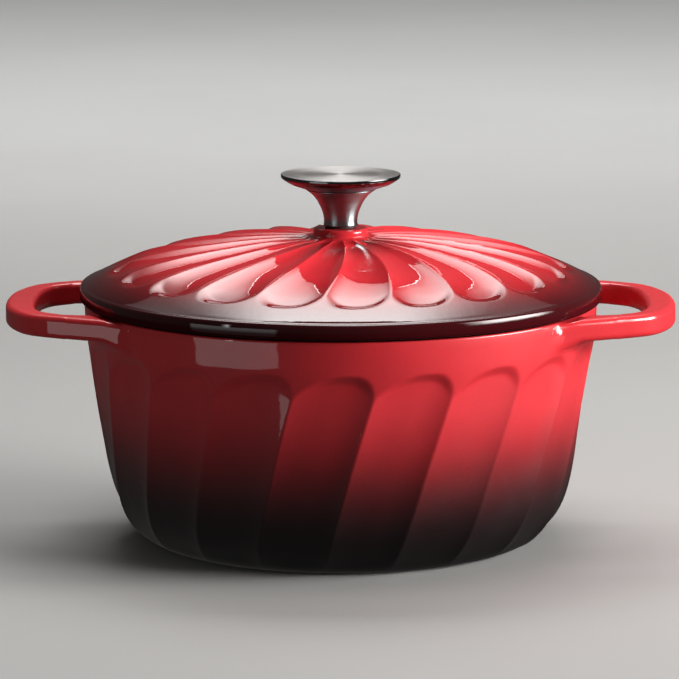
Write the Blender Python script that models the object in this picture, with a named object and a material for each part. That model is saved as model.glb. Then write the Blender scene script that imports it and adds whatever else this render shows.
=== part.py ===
"""Round enamelled cast iron dutch oven, 26 cm class, with two cast loop handles, a domed lid with swirled scoops
and a stainless steel knob held by one screw from inside the lid.

Frame: metres, +Z up, origin at the centre of the base face, handles along X.
"""
import bmesh
import bpy
import numpy as np
from math import cos, hypot, pi, radians, sin

MM = 0.001

# ---------------------------------------------------------------- driving dimensions, millimetres
POT_H = 122.6            # base face to rim top
RIM_R = 131.5            # outer radius just below the rim
RIM_TOP_OUT = 130.1      # flat top land of the rim, outer and inner radius
RIM_TOP_IN = 127.6
WALL = 5.0               # wall at a ridge; the flutes leave about 2.4 at their deepest
FLOOR_Z = 5.2            # inside floor
FOOT_R = 93.0            # outer radius of the flat base

FLUTES = 20              # shallow scoops round the wall
FLUTE_DEPTH = 2.6
FLUTE_TOP = 105.8        # height of the arched tops
FLUTE_DROP = 11.0        # how far the arch falls to the ridge between two flutes
FLUTE_TWIST = 0.128      # degrees per millimetre of height
FLUTE_PHASE = -82.6      # azimuth of a ridge at FLUTE_REF_Z
FLUTE_REF_Z = 95.0

PETALS = 21              # scoops on the lid
PETAL_DEPTH = 2.3
PETAL_END = 120.6        # radius where a scoop ends
PETAL_DROP = 8.5
PETAL_SWIRL = 9.8        # degrees, centre to PETAL_END
PETAL_PHASE = -94.2      # azimuth of a ridge at radius 110

LID_GAP = 0.3            # rest gap between lid and rim
SEAT_Z = POT_H + LID_GAP
LID_R = 134.1
LIP_Z = 123.7            # underside of the lid's outer lip
LID_WALL = 4.2
RING_OUT, RING_IN = 125.2, 121.4   # locating ring under the lid
RING_Z = 117.6
BOSS_TOP = 160.0
BOSS_R = 14.1
LID_PAD_Z = 150.9        # flat pad round the hole, inside the lid
LID_HOLE = 3.6

NUB_RINGS = ((46.0, 6), (73.0, 10), (99.0, 14))   # radius, count of basting nubs
NUB_H = 3.2

HANDLE_TOP = 123.1
HANDLE_TOP_IN = 122.35   # lower where the lid's lip passes over the roots
HANDLE_BOTTOM = 111.8
HANDLE_ROOT_BOTTOM = 107.6
HANDLE_IN_WALL = 128.6   # the straps run into the wall to this radius

GASKET = (4.2, 8.2, 160.3, 160.95)
STEM_Z = 161.25
CAP_R = 30.7
CAP_Z1 = 187.7
SCREW_R = 3.0
INSERT = (3.3, 6.9, 162.1, 175.0)
WASHER = (3.5, 7.4, 149.3, 150.6)
LOCK = (3.5, 5.6, 147.4, 149.0)
HEAD_R, HEAD_Z0, HEAD_Z1 = 6.1, 143.3, 147.1
SCREW_TIP = 173.0

# radius of the ridges and of the plain band against height
POT_Z = (0.0, 1.0, 3.0, 6.5, 12.0, 20.0, 30.0, 40.0, 50.0, 64.0, 78.0, 96.0, 110.0, 119.0)
POT_R = (95.6, 99.4, 103.4, 107.4, 111.9, 116.0, 118.9, 120.9, 122.4, 124.7, 126.8, 129.3, 131.0, RIM_R)
# height of the lid's ridges and margin against radius
LID_X = (16.0, 24.0, 40.0, 50.0, 70.0, 80.0, 90.0, 105.0, 118.0, 128.0, 131.0)
LID_Y = (155.5, 155.4, 154.7, 153.9, 151.5, 149.9, 147.9, 143.9, 138.4, 133.6, 132.0)


# ---------------------------------------------------------------- curves
def smooth_curve(xs, ys):
    """A function through the points, smooth and without overshoot (monotone cubic)."""
    x, y = np.array(xs, float), np.array(ys, float)
    h, d = np.diff(x), np.diff(y) / np.diff(x)
    m = np.zeros(len(x))
    for i in range(1, len(x) - 1):
        if d[i - 1] * d[i] > 0:
            a, b = 2 * h[i] + h[i - 1], h[i] + 2 * h[i - 1]
            m[i] = (a + b) / (a / d[i - 1] + b / d[i])
    m[0], m[-1] = d[0], d[-1]

    def f(t):
        t = min(max(t, x[0]), x[-1])
        i = min(int(np.searchsorted(x, t, "right")) - 1, len(h) - 1)
        s = (t - x[i]) / h[i]
        return float(
            y[i] * (1 + 2 * s) * (1 - s) ** 2
            + h[i] * m[i] * s * (1 - s) ** 2
            + y[i + 1] * s * s * (3 - 2 * s)
            + h[i] * m[i + 1] * s * s * (s - 1)
        )

    return f


pot_radius = smooth_curve(POT_Z, POT_R)
lid_height = smooth_curve(LID_X, LID_Y)


def smooth_step(t):
    t = min(max(t, 0.0), 1.0)
    return t * t * (3 - 2 * t)


def arch(u, skew):
    """0 at the top of the arch and 1 at both ridges; the top sits at u = skew."""
    if u < skew:
        return ((skew - u) / (1 + skew)) ** 2.2
    return ((u - skew) / (1 - skew)) ** 3.0


def flute_depth(z, u):
    """How far the wall is scooped in at height z; u runs -1 to 1 from ridge to ridge."""
    top = FLUTE_TOP - FLUTE_DROP * arch(u, 0.2)
    return FLUTE_DEPTH * (1 - u * u) ** 0.9 * smooth_step((top - z) / 4.0) * smooth_step((z + 1.0) / 9.0)


def petal_depth(r, u):
    end = PETAL_END - PETAL_DROP * arch(u, -0.05)
    grow = 0.35 + 0.65 * smooth_step((r - 20) / 50)
    return PETAL_DEPTH * grow * (1 - u * u) ** 0.9 * smooth_step((end - r) / 3.5) * smooth_step((r - 15.5) / 4)


def swirl(r):
    return PETAL_SWIRL * (max(r - 12.0, 0.0) / 108.0) ** 1.6


# ---------------------------------------------------------------- mesh helpers
def material(name, colour, roughness, metallic=0.0):
    m = bpy.data.materials.new(name)
    m.use_nodes = True
    shader = m.node_tree.nodes["Principled BSDF"]
    shader.inputs["Base Color"].default_value = (*colour, 1.0)
    shader.inputs["Roughness"].default_value = roughness
    shader.inputs["Metallic"].default_value = metallic
    m.diffuse_color = (*colour, 1.0)
    return m


def finish(name, bm, mat, parent=None, sharp=35):
    bmesh.ops.recalc_face_normals(bm, faces=bm.faces)
    mesh = bpy.data.meshes.new(name)
    bm.to_mesh(mesh)
    bm.free()
    obj = bpy.data.objects.new(name, mesh)
    bpy.context.scene.collection.objects.link(obj)
    mesh.materials.append(mat)
    mesh.shade_smooth()
    mesh.set_sharp_from_angle(angle=radians(sharp))
    if parent is not None:
        obj.parent = parent
        obj.matrix_parent_inverse = parent.matrix_world.inverted()
    return obj


def ring(bm, points):
    return [bm.verts.new((x * MM, y * MM, z * MM)) for x, y, z in points]


def stitch(bm, a, b):
    n = len(a)
    for i in range(n):
        bm.faces.new((a[i], a[(i + 1) % n], b[(i + 1) % n], b[i]))


def turned(name, profile, segments, mat, parent=None, sharp=35, z0=0.0):
    """A closed profile of (radius, height) spun round the Z axis. Its points never reach the axis."""
    bm = bmesh.new()
    verts = [bm.verts.new((r * MM, 0.0, (z + z0) * MM)) for r, z in profile]
    edges = [bm.edges.new((verts[i], verts[(i + 1) % len(verts)])) for i in range(len(verts))]
    bmesh.ops.spin(bm, geom=verts + edges, cent=(0, 0, 0), axis=(0, 0, 1), angle=2 * pi, steps=segments, use_merge=True)
    bmesh.ops.remove_doubles(bm, verts=bm.verts, dist=1e-6)
    return finish(name, bm, mat, parent, sharp)


def solid_turned(name, profile, segments, mat, parent=None, sharp=35):
    """An open profile of (radius, height) that starts and ends on the axis, spun and closed by its end faces."""
    bm = bmesh.new()
    rings = [ring(bm, [(r * cos(2 * pi * i / segments), r * sin(2 * pi * i / segments), z) for i in range(segments)]) for r, z in profile]
    for a, b in zip(rings, rings[1:]):
        stitch(bm, a, b)
    bm.faces.new(rings[0])
    bm.faces.new(rings[-1])
    return finish(name, bm, mat, parent, sharp)


def modifier_boolean(obj, other, operation):
    m = obj.modifiers.new(operation.lower() + "_" + other.name, "BOOLEAN")
    m.operation = operation
    m.solver = "EXACT"
    m.object = other
    other.hide_render = True
    other.display_type = "WIRE"
    return m


# ---------------------------------------------------------------- pot
def pot_mesh(mat):
    per = 4
    n = FLUTES * per
    bm = bmesh.new()

    def outer(z, offset=None):
        out = []
        for k in range(n):
            a = radians(FLUTE_PHASE + 360.0 * k / n + FLUTE_TWIST * (z - FLUTE_REF_Z))
            u = 2.0 * (k % per) / per - 1.0
            r = (pot_radius(z) - flute_depth(z, u)) if offset is None else offset
            out.append((r * cos(a), r * sin(a), z))
        return out

    def plain(r, z):
        turn = FLUTE_TWIST * (POT_H - FLUTE_REF_Z)
        return [(r * cos(radians(FLUTE_PHASE + 360.0 * k / n + turn)), r * sin(radians(FLUTE_PHASE + 360.0 * k / n + turn)), z) for k in range(n)]

    foot_turn = -FLUTE_TWIST * FLUTE_REF_Z

    def under(r, z):
        return [(r * cos(radians(FLUTE_PHASE + 360.0 * k / n + foot_turn)), r * sin(radians(FLUTE_PHASE + 360.0 * k / n + foot_turn)), z) for k in range(n)]

    rings = [ring(bm, under(FOOT_R, 0.0))]
    for z in (0.7, 2.8, 7.0, 13.0, 22.0, 35.0, 53.0, 72.0, 88.0, 95.5, 100.0, 104.0, 108.0, 119.0):
        rings.append(ring(bm, outer(z)))
    rings += [
        ring(bm, outer(121.6, RIM_R - 0.35)),
        ring(bm, outer(POT_H, RIM_TOP_OUT)),
        ring(bm, plain(RIM_TOP_IN, POT_H)),
    ]
    inner = [(121.4, RIM_R - WALL)]
    for z in (70.0, 42.0, 25.0, 15.0, 9.5):
        inner.append((z, pot_radius(z) - WALL - 0.6 * smooth_step((30 - z) / 22.0)))
    inner += [(6.8, 95.6), (FLOOR_Z, 86.0)]
    for z, r in inner:
        rings.append(ring(bm, plain(r, z)))
    for a, b in zip(rings, rings[1:]):
        stitch(bm, a, b)
    bm.faces.new(rings[0])
    bm.faces.new(rings[-1])
    return finish("pot_body", bm, mat, sharp=50)


# outline of one loop handle in plan, for half of it; mirrored in Y
HANDLE_OUT = ((108.0, 75.3), (116.0, 71.5), (124.0, 67.7), (132.0, 63.9), (141.0, 59.4), (149.0, 55.3), (156.4, 50.4), (161.6, 44.2), (165.4, 36.8), (168.6, 28.0), (170.9, 17.0), (171.9, 0.0))
HANDLE_IN = ((156.6, 0.0), (156.3, 12.0), (155.3, 25.5), (153.4, 34.0), (150.4, 40.4), (145.6, 45.2), (140.0, 48.4), (133.0, 50.3), (126.0, 50.6), (121.5, 50.7))


def handle_mesh(name, side, mat):
    """A flat U shaped bar with rounded edges that runs into the pot's wall at both ends."""
    def in_wall(p):
        s = HANDLE_IN_WALL / hypot(*p)
        return (p[0] * s, p[1] * s)

    out = [in_wall(HANDLE_OUT[0])] + list(HANDLE_OUT)
    inn = list(HANDLE_IN) + [in_wall(HANDLE_IN[-1])]
    root = [in_wall((p[0], p[1])) for p in ((112.5, 66.0), (116.5, 58.5))]
    loop = out + [(x, -y) for x, y in out[-2::-1]]
    back = [(x, -y) for x, y in root] + [(x, -y) for x, y in inn[::-1]] + inn[1:] + root[::-1]
    plan = loop + back

    def bottom(x, y):
        r = hypot(x, y)
        return HANDLE_BOTTOM - (HANDLE_BOTTOM - HANDLE_ROOT_BOTTOM) * smooth_step((139.0 - r) / 9.0)

    def top(x, y):
        return HANDLE_TOP_IN + (HANDLE_TOP - HANDLE_TOP_IN) * smooth_step((hypot(x, y) - 133.5) / 4.5)

    bm = bmesh.new()
    low = [bm.verts.new((side * x * MM, y * MM, bottom(x, y) * MM)) for x, y in plan]
    high = [bm.verts.new((side * x * MM, y * MM, top(x, y) * MM)) for x, y in plan]
    stitch(bm, low, high)
    bm.faces.new(low)
    bm.faces.new(high)
    bmesh.ops.recalc_face_normals(bm, faces=bm.faces)
    clear = (HANDLE_IN_WALL + 0.5) * MM
    rim = [e for e in bm.edges if all(hypot(v.co.x, v.co.y) > clear for v in e.verts) and abs(e.verts[0].co.z - e.verts[1].co.z) < 5 * MM and len(e.link_faces) == 2 and any(len(f.verts) > 4 for f in e.link_faces)]
    bmesh.ops.bevel(bm, geom=rim, offset=2.2 * MM, offset_type="OFFSET", segments=2, profile=0.5, affect="EDGES", clamp_overlap=True)
    bmesh.ops.triangulate(bm, faces=[f for f in bm.faces if len(f.verts) > 4])
    return finish(name, bm, mat)


# ---------------------------------------------------------------- lid
def under_height(r):
    """Underside of the lid's dome."""
    return lid_height(max(r, 16.0)) - LID_WALL


def lid_mesh(mat):
    per = 4
    n = PETALS * per
    bm = bmesh.new()

    def angle(k, r):
        return radians(PETAL_PHASE + 360.0 * k / n + swirl(110.0) - swirl(r))

    def top(r):
        out = []
        for k in range(n):
            a, u = angle(k, r), 2.0 * (k % per) / per - 1.0
            out.append((r * cos(a), r * sin(a), lid_height(r) - petal_depth(r, u)))
        return out

    def flat(r, z, at=None):
        return [(r * cos(angle(k, at or r)), r * sin(angle(k, at or r)), z) for k in range(n)]

    rings = [ring(bm, flat(LID_HOLE, LID_PAD_Z, 12)), ring(bm, flat(LID_HOLE, BOSS_TOP, 12))]
    for r, z in ((10.9, BOSS_TOP), (13.0, BOSS_TOP - 0.8), (BOSS_R, BOSS_TOP - 2.2), (BOSS_R - 0.4, BOSS_TOP - 3.4), (14.6, 155.8)):
        rings.append(ring(bm, flat(r, z, 12 if r < 14.5 else 14)))
    for r in (20.0, 40.0, 64.0, 86.0, 101.0, 110.0, 114.0, 117.5, 120.5, 130.5):
        rings.append(ring(bm, top(r)))
    for r, z in ((133.2, 130.2), (LID_R, 127.4), (133.6, 124.6), (131.4, LIP_Z), (129.8, SEAT_Z), (RING_OUT + 0.6, SEAT_Z)):
        rings.append(ring(bm, flat(r, z, 130)))
    for r, z in ((RING_OUT - 0.4, RING_Z), (RING_IN + 0.4, RING_Z), (RING_IN - 0.8, under_height(120.6))):
        rings.append(ring(bm, flat(r, z, 130)))
    for r in (104.0, 78.0, 44.0):
        rings.append(ring(bm, flat(r, under_height(r), 130)))
    rings.append(ring(bm, flat(11.5, LID_PAD_Z, 130)))
    last = rings[-1]
    first = rings[0]
    for a, b in zip(rings, rings[1:]):
        stitch(bm, a, b)
    stitch(bm, last, first)
    return finish("lid", bm, mat, sharp=50)


def nub_mesh(mat):
    bm = bmesh.new()
    for radius, count in NUB_RINGS:
        for i in range(count):
            a = 2 * pi * (i + 0.5 * (count % 2)) / count
            cx, cy = radius * cos(a), radius * sin(a)
            z = under_height(radius)
            rows = []
            for r, dz in ((3.4, 1.6), (1.4, -NUB_H)):
                rows.append(ring(bm, [(cx + r * cos(2 * pi * j / 6 + a), cy + r * sin(2 * pi * j / 6 + a), z + dz) for j in range(6)]))
            for p, q in zip(rows, rows[1:]):
                stitch(bm, p, q)
            bm.faces.new(rows[0])
            bm.faces.new(rows[-1])
    return finish("lid_nubs", bm, mat)


# ---------------------------------------------------------------- knob and its fastening
def stem_profile():
    """The flared stem, with the socket that the threaded bush is pressed into."""
    outside = [(8.5, STEM_Z), (8.75, STEM_Z + 0.3), (8.55, 163.4), (8.75, 165.6), (9.3, 168.0), (10.5, 171.0), (12.4, 174.5), (15.0, 177.5), (18.2, 179.9), (18.0, 180.1)]
    inside = [(17.2, 180.1), (13.2, 178.0), (9.4, 175.6), (7.2, 175.6), (7.2, 161.8), (4.4, 161.8), (4.4, STEM_Z)]
    return outside + inside


def cap_profile():
    """The disc, its tapered edge and the shallow cone below it, whose middle is hollowed for the stem's flare."""
    under = [(1.0, 184.9), (15.6, 184.9), (16.6, 184.4), (17.2, 180.6), (18.4, 180.35), (22.0, 181.6), (26.0, 183.05)]
    return under + [(28.4, 184.1), (29.7, 185.0), (30.4, 186.2), (CAP_R, CAP_Z1 - 0.3), (CAP_R - 0.4, CAP_Z1), (1.0, CAP_Z1)]


def lock_washer(name, mat, parent):
    """A split ring: a rectangular section swept nearly once round, its two ends stepped."""
    bm = bmesh.new()
    r0, r1, z0, z1 = LOCK
    steps, rows = 24, []
    for i in range(steps + 1):
        a = radians(8 + 344 * i / steps)
        rise = 0.25 * (i / steps - 0.5)
        rows.append(ring(bm, [(r * cos(a), r * sin(a), z + rise) for r, z in ((r0, z0 + 0.15), (r1, z0 + 0.15), (r1, z1 - 0.15), (r0, z1 - 0.15))]))
    for a, b in zip(rows, rows[1:]):
        stitch(bm, a, b)
    bm.faces.new(rows[0])
    bm.faces.new(rows[-1])
    return finish(name, bm, mat, parent)


def main():
    for obj in list(bpy.data.objects):
        bpy.data.objects.remove(obj, do_unlink=True)

    red = material("red_enamel", (0.62, 0.02, 0.03), 0.12)
    lid_red = material("lid_enamel", (0.58, 0.02, 0.03), 0.1)
    steel = material("brushed_steel", (0.62, 0.6, 0.58), 0.28, 1.0)
    polished = material("polished_steel", (0.66, 0.64, 0.62), 0.16, 1.0)
    zinc = material("fastener_steel", (0.5, 0.5, 0.5), 0.35, 1.0)
    rubber = material("black_gasket", (0.02, 0.02, 0.02), 0.6)

    lift = bpy.data.objects.new("lid_lift_axis", None)
    lift.location = (0, 0, SEAT_Z * MM)
    bpy.context.scene.collection.objects.link(lift)
    turn = bpy.data.objects.new("lid_turn_axis", None)
    turn.location = (0, 0, BOSS_TOP * MM)
    bpy.context.scene.collection.objects.link(turn)
    bpy.context.view_layer.update()
    turn.parent = lift
    turn.matrix_parent_inverse = lift.matrix_world.inverted()
    bpy.context.view_layer.update()

    pot = pot_mesh(red)
    for name, side in (("handle_solid_right", 1), ("handle_solid_left", -1)):
        modifier_boolean(pot, handle_mesh(name, side, red), "UNION")

    lid = lid_mesh(lid_red)
    modifier_boolean(lid, nub_mesh(lid_red), "UNION")
    lid.parent = turn
    lid.matrix_parent_inverse = turn.matrix_world.inverted()

    turned("knob_stem", stem_profile(), 32, polished, lift)
    solid_turned("knob_cap", cap_profile(), 40, steel, lift)
    turned("knob_insert", [(INSERT[1], INSERT[2]), (INSERT[1], INSERT[3]), (INSERT[0], INSERT[3]), (INSERT[0], INSERT[2])], 20, zinc, lift)
    turned("knob_gasket", [(GASKET[1], GASKET[2]), (GASKET[1], GASKET[3]), (GASKET[0], GASKET[3]), (GASKET[0], GASKET[2])], 32, rubber, lift)
    turned("flat_washer", [(WASHER[1], WASHER[2]), (WASHER[1], WASHER[3]), (WASHER[0], WASHER[3]), (WASHER[0], WASHER[2])], 28, zinc, lift)
    lock_washer("lock_washer", zinc, lift)

    screw = solid_turned(
        "knob_screw",
        [(2.4, SCREW_TIP), (SCREW_R, SCREW_TIP - 0.7), (SCREW_R, HEAD_Z1), (HEAD_R, HEAD_Z1), (HEAD_R, HEAD_Z1 - 1.6), (5.3, HEAD_Z0 + 0.9), (3.6, HEAD_Z0)],
        28, zinc, lift,
    )
    bm = bmesh.new()
    bmesh.ops.create_cube(bm, size=1.0)
    bmesh.ops.scale(bm, vec=(16 * MM, 1.5 * MM, 3.0 * MM), verts=bm.verts)
    bmesh.ops.translate(bm, vec=(0, 0, (HEAD_Z0 + 0.0) * MM), verts=bm.verts)
    slot = finish("screw_slot_cutter", bm, zinc)
    modifier_boolean(screw, slot, "DIFFERENCE")


main()
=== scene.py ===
"""The looks of the round enamelled cast iron dutch oven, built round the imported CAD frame.

Lengths in the shape functions are millimetres, in the frame's own axes: origin at the centre of the base, +Z up,
handles along X, the viewed side towards -Y.
"""

from math import cos, pi, radians, sin, tan

import bmesh
import bpy
import numpy as np
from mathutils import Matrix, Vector


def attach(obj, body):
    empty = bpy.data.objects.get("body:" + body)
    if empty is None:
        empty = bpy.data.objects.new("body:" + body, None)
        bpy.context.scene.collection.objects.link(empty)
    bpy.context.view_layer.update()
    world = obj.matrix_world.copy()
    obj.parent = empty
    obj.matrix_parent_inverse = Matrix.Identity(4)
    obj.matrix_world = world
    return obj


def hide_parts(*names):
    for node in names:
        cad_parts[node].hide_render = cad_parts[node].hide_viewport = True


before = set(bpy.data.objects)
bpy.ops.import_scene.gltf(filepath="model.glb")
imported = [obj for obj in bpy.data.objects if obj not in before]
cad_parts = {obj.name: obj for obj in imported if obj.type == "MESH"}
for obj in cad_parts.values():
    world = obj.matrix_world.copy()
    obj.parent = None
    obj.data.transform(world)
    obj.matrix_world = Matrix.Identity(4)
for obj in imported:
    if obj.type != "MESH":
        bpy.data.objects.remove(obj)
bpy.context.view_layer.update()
MM = 0.001

# ---------------------------------------------------------------- dimensions, millimetres
POT_H = 122.6
RIM_R = 131.5
WALL = 5.0
FLOOR_Z = 5.2
FOOT_R = 93.0

FLUTES, FLUTE_DEPTH, FLUTE_TOP, FLUTE_DROP = 20, 2.7, 105.8, 11.0
FLUTE_TWIST, FLUTE_PHASE, FLUTE_REF_Z = 0.128, -82.6, 95.0

PETALS, PETAL_DEPTH, PETAL_END, PETAL_DROP = 21, 2.7, 120.8, 8.5
PETAL_SWIRL, PETAL_PHASE = 9.8, -94.2

SEAT_Z = 122.9
LID_R = 134.03
LIP_Z = 123.7
LID_WALL = 4.2
RING_OUT, RING_IN, RING_Z = 125.2, 121.4, 117.6
BOSS_TOP, BOSS_R = 160.0, 14.1
LID_PAD_Z, LID_HOLE = 150.9, 3.6
NUB_RINGS, NUB_H = ((46.0, 6), (73.0, 10), (99.0, 14)), 3.2

HANDLE_TOP, HANDLE_BOTTOM, HANDLE_ROOT_BOTTOM = 123.1, 111.8, 107.6

POT_Z = (0.0, 1.0, 3.0, 6.5, 12.0, 20.0, 30.0, 40.0, 50.0, 64.0, 78.0, 96.0, 110.0, 119.0)
POT_R = (95.6, 99.4, 103.4, 107.4, 111.9, 116.0, 118.9, 120.9, 122.4, 124.7, 126.8, 129.3, 131.0, RIM_R)
LID_X = (16.0, 24.0, 40.0, 50.0, 70.0, 80.0, 90.0, 105.0, 118.0, 128.0, 131.0)
LID_Y = (155.5, 155.4, 154.7, 153.9, 151.5, 149.9, 147.9, 143.9, 138.4, 133.6, 132.0)
LID_BEAD = ((129.6, 132.78), (130.6, 132.2), (131.3, 131.78), (131.9, 131.6), (132.5, 131.5), (133.05, 131.25), (133.5, 130.75), (133.78, 130.05), (133.9, 129.3), (133.99, 128.3), (LID_R, 127.0))


# ---------------------------------------------------------------- curves
def smooth_curve(xs, ys):
    """A function of an array through the points, monotone cubic."""
    x, y = np.array(xs, float), np.array(ys, float)
    h, d = np.diff(x), np.diff(y) / np.diff(x)
    m = np.zeros(len(x))
    for i in range(1, len(x) - 1):
        if d[i - 1] * d[i] > 0:
            a, b = 2 * h[i] + h[i - 1], h[i] + 2 * h[i - 1]
            m[i] = (a + b) / (a / d[i - 1] + b / d[i])
    m[0], m[-1] = d[0], d[-1]

    def f(t):
        t = np.clip(np.asarray(t, float), x[0], x[-1])
        i = np.clip(np.searchsorted(x, t, "right") - 1, 0, len(h) - 1)
        s = (t - x[i]) / h[i]
        return (
            y[i] * (1 + 2 * s) * (1 - s) ** 2
            + h[i] * m[i] * s * (1 - s) ** 2
            + y[i + 1] * s * s * (3 - 2 * s)
            + h[i] * m[i + 1] * s * s * (s - 1)
        )

    return f


pot_radius = smooth_curve(POT_Z, POT_R)
lid_height = smooth_curve(LID_X, LID_Y)


def smooth_step(t):
    t = np.clip(t, 0.0, 1.0)
    return t * t * (3 - 2 * t)


def arch(u, skew, left=2.2, right=3.0):
    a = np.clip((skew - u) / (1 + skew), 0, 1) ** left
    b = np.clip((u - skew) / (1 - skew), 0, 1) ** right
    return np.where(u < skew, a, b)


def scoop(u, lean):
    """Cross-section of a scoop, 1 at its deepest: crisp at both ridges, flat in the middle, leaning to one side."""
    return (1 - np.abs(u) ** 2.4) ** 0.95 * (1 + lean * u)


def flute_depth(z, u):
    top = FLUTE_TOP - FLUTE_DROP * arch(u, 0.2)
    t = np.clip((top - z) / 5.0, 0, 1)
    end = t * t * (3 - 2 * t) * 0.5 + t * (2 - t) * 0.5
    return FLUTE_DEPTH * scoop(u, 0.16) * end * smooth_step((z + 1.0) / 11.0)


def petal_depth(r, u):
    end = PETAL_END - PETAL_DROP * arch(u, 0.0, 2.6, 2.6)
    grow = 0.30 + 0.70 * smooth_step((r - 18) / 62)
    t = np.clip((end - r) / 6.6, 0, 1)
    wall = 0.62 * t + 0.38 * smooth_step(t)
    return PETAL_DEPTH * grow * scoop(u, 0.05) * wall * smooth_step((r - 15.5) / 5)


def swirl(r):
    return PETAL_SWIRL * (np.maximum(np.asarray(r, float) - 12.0, 0.0) / 108.0) ** 1.6


# ---------------------------------------------------------------- mesh making
def object_from(name, verts, faces, indices=None, materials=(), smooth=True):
    mesh = bpy.data.meshes.new(name)
    mesh.from_pydata([tuple(v) for v in np.asarray(verts) * MM], [], faces)
    for m in materials:
        mesh.materials.append(m)
    if indices is not None:
        mesh.polygons.foreach_set("material_index", np.asarray(indices, np.int32))
    if smooth:
        mesh.shade_smooth()
    mesh.validate()
    mesh.update()
    obj = bpy.data.objects.new(name, mesh)
    bpy.context.scene.collection.objects.link(obj)
    return obj


def stitched(rings, closed=False, caps=True, index=None):
    """Vertices and faces of a stack of equal rings. index gives one material number for each band between rings."""
    n = len(rings[0])
    verts = np.concatenate(rings)
    faces, mats = [], []
    k = np.arange(n)
    pairs = [(i, i + 1) for i in range(len(rings) - 1)]
    if closed:
        pairs.append((len(rings) - 1, 0))
    for q, (i, j) in enumerate(pairs):
        a, b = i * n + k, i * n + (k + 1) % n
        c, d = j * n + (k + 1) % n, j * n + k
        faces += np.stack([a, b, c, d], 1).tolist()
        mats += [0 if index is None else index[q]] * n
    if caps and not closed:
        faces.append(list(range(n))[::-1])
        mats.append(0 if index is None else index[0])
        faces.append([(len(rings) - 1) * n + i for i in range(n)])
        mats.append(0 if index is None else index[-1])
    return verts, faces, mats


def outward(obj):
    """Faces turned outward."""
    bm = bmesh.new()
    bm.from_mesh(obj.data)
    bmesh.ops.recalc_face_normals(bm, faces=bm.faces)
    if bm.calc_volume(signed=True) < 0:
        bmesh.ops.reverse_faces(bm, faces=bm.faces)
    bm.to_mesh(obj.data)
    bm.free()
    return obj


def rounded(points, radii, steps=5):
    """A profile whose corners are rounded. points are (r, z), radii one for each inner corner."""
    out = [points[0]]
    for i in range(1, len(points) - 1):
        p, a, b = np.array(points[i]), np.array(points[i - 1]), np.array(points[i + 1])
        rad = radii[i]
        if rad <= 0:
            out.append(tuple(p))
            continue
        u, v = (a - p) / np.linalg.norm(a - p), (b - p) / np.linalg.norm(b - p)
        half = np.arccos(np.clip(u @ v, -1, 1)) / 2
        cut = min(rad / np.tan(half), 0.48 * np.linalg.norm(a - p), 0.48 * np.linalg.norm(b - p))
        s, e = p + u * cut, p + v * cut
        for k in range(steps + 1):
            t = k / steps
            out.append(tuple((1 - t) ** 2 * s + 2 * t * (1 - t) * p + t * t * e))
    out.append(points[-1])
    return out


def turned(name, profile, segments, materials, closed=False, index=None):
    """A profile of (r, z) turned about Z; an open one is closed with flat ends."""
    a = np.arange(segments) * 2 * pi / segments
    rings = [np.stack([r * np.cos(a), r * np.sin(a), np.full(segments, z)], 1) for r, z in profile]
    v, f, m = stitched(rings, closed=closed, index=index)
    return outward(object_from(name, v, f, m, materials))


# ---------------------------------------------------------------- signed distances, for the handles' fillets
def polygon_distance(p, poly):
    """Signed distance of points p (n, 2) to the closed polygon poly (m, 2), negative inside."""
    a, b = poly, np.roll(poly, -1, 0)
    e = b - a
    ee = (e**2).sum(1)
    best = np.full(len(p), 1e9)
    inside = np.zeros(len(p), bool)
    for i in range(len(a)):
        w = p - a[i]
        t = np.clip((w @ e[i]) / ee[i], 0, 1)
        d = w - t[:, None] * e[i]
        best = np.minimum(best, (d**2).sum(1))
        c1 = p[:, 1] >= a[i, 1]
        c2 = p[:, 1] < b[i, 1]
        c3 = e[i, 0] * w[:, 1] > e[i, 1] * w[:, 0]
        inside ^= (c1 & c2 & c3) | (~c1 & ~c2 & ~c3)
    return np.where(inside, -1, 1) * np.sqrt(best)


HANDLE_OUT = ((102.6, 77.9), (109.0, 74.8), (116.0, 71.5), (123.0, 68.2), (132.0, 63.9), (141.0, 59.4), (149.0, 55.3), (156.4, 50.4), (161.6, 44.2), (165.4, 36.8), (168.6, 28.0), (170.9, 17.0), (171.9, 0.0))
HANDLE_IN = ((117.6, 50.9), (121.5, 50.7), (126.0, 50.6), (133.0, 50.3), (140.0, 48.4), (145.6, 45.2), (150.4, 40.4), (153.4, 34.0), (155.3, 25.5), (156.3, 12.0), (156.6, 0.0))


def resampled(points, count):
    """Points evenly spaced along a smooth curve through the given ones."""
    p = np.array(points, float)
    t = np.concatenate([[0], np.cumsum(np.linalg.norm(np.diff(p, axis=0), axis=1))])
    m = np.zeros_like(p)
    m[1:-1] = (p[2:] - p[:-2]) / (t[2:] - t[:-2])[:, None]
    m[0], m[-1] = (p[1] - p[0]) / (t[1] - t[0]), (p[-1] - p[-2]) / (t[-1] - t[-2])
    q = np.linspace(0, t[-1], 800)
    i = np.clip(np.searchsorted(t, q, "right") - 1, 0, len(t) - 2)
    h = (t[i + 1] - t[i])[:, None]
    s = ((q - t[i])[:, None]) / h
    c = p[i] * (1 + 2 * s) * (1 - s) ** 2 + h * m[i] * s * (1 - s) ** 2 + p[i + 1] * s * s * (3 - 2 * s) + h * m[i + 1] * s * s * (s - 1)
    d = np.concatenate([[0], np.cumsum(np.linalg.norm(np.diff(c, axis=0), axis=1))])
    w = np.linspace(0, d[-1], count)
    return np.stack([np.interp(w, d, c[:, 0]), np.interp(w, d, c[:, 1])], 1)


def both_sides(half):
    """The half outline from root to middle, mirrored in Y to go from root to root."""
    mirror = half[::-1].copy()
    mirror[:, 1] *= -1
    return np.concatenate([half, mirror[1:]])


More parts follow.
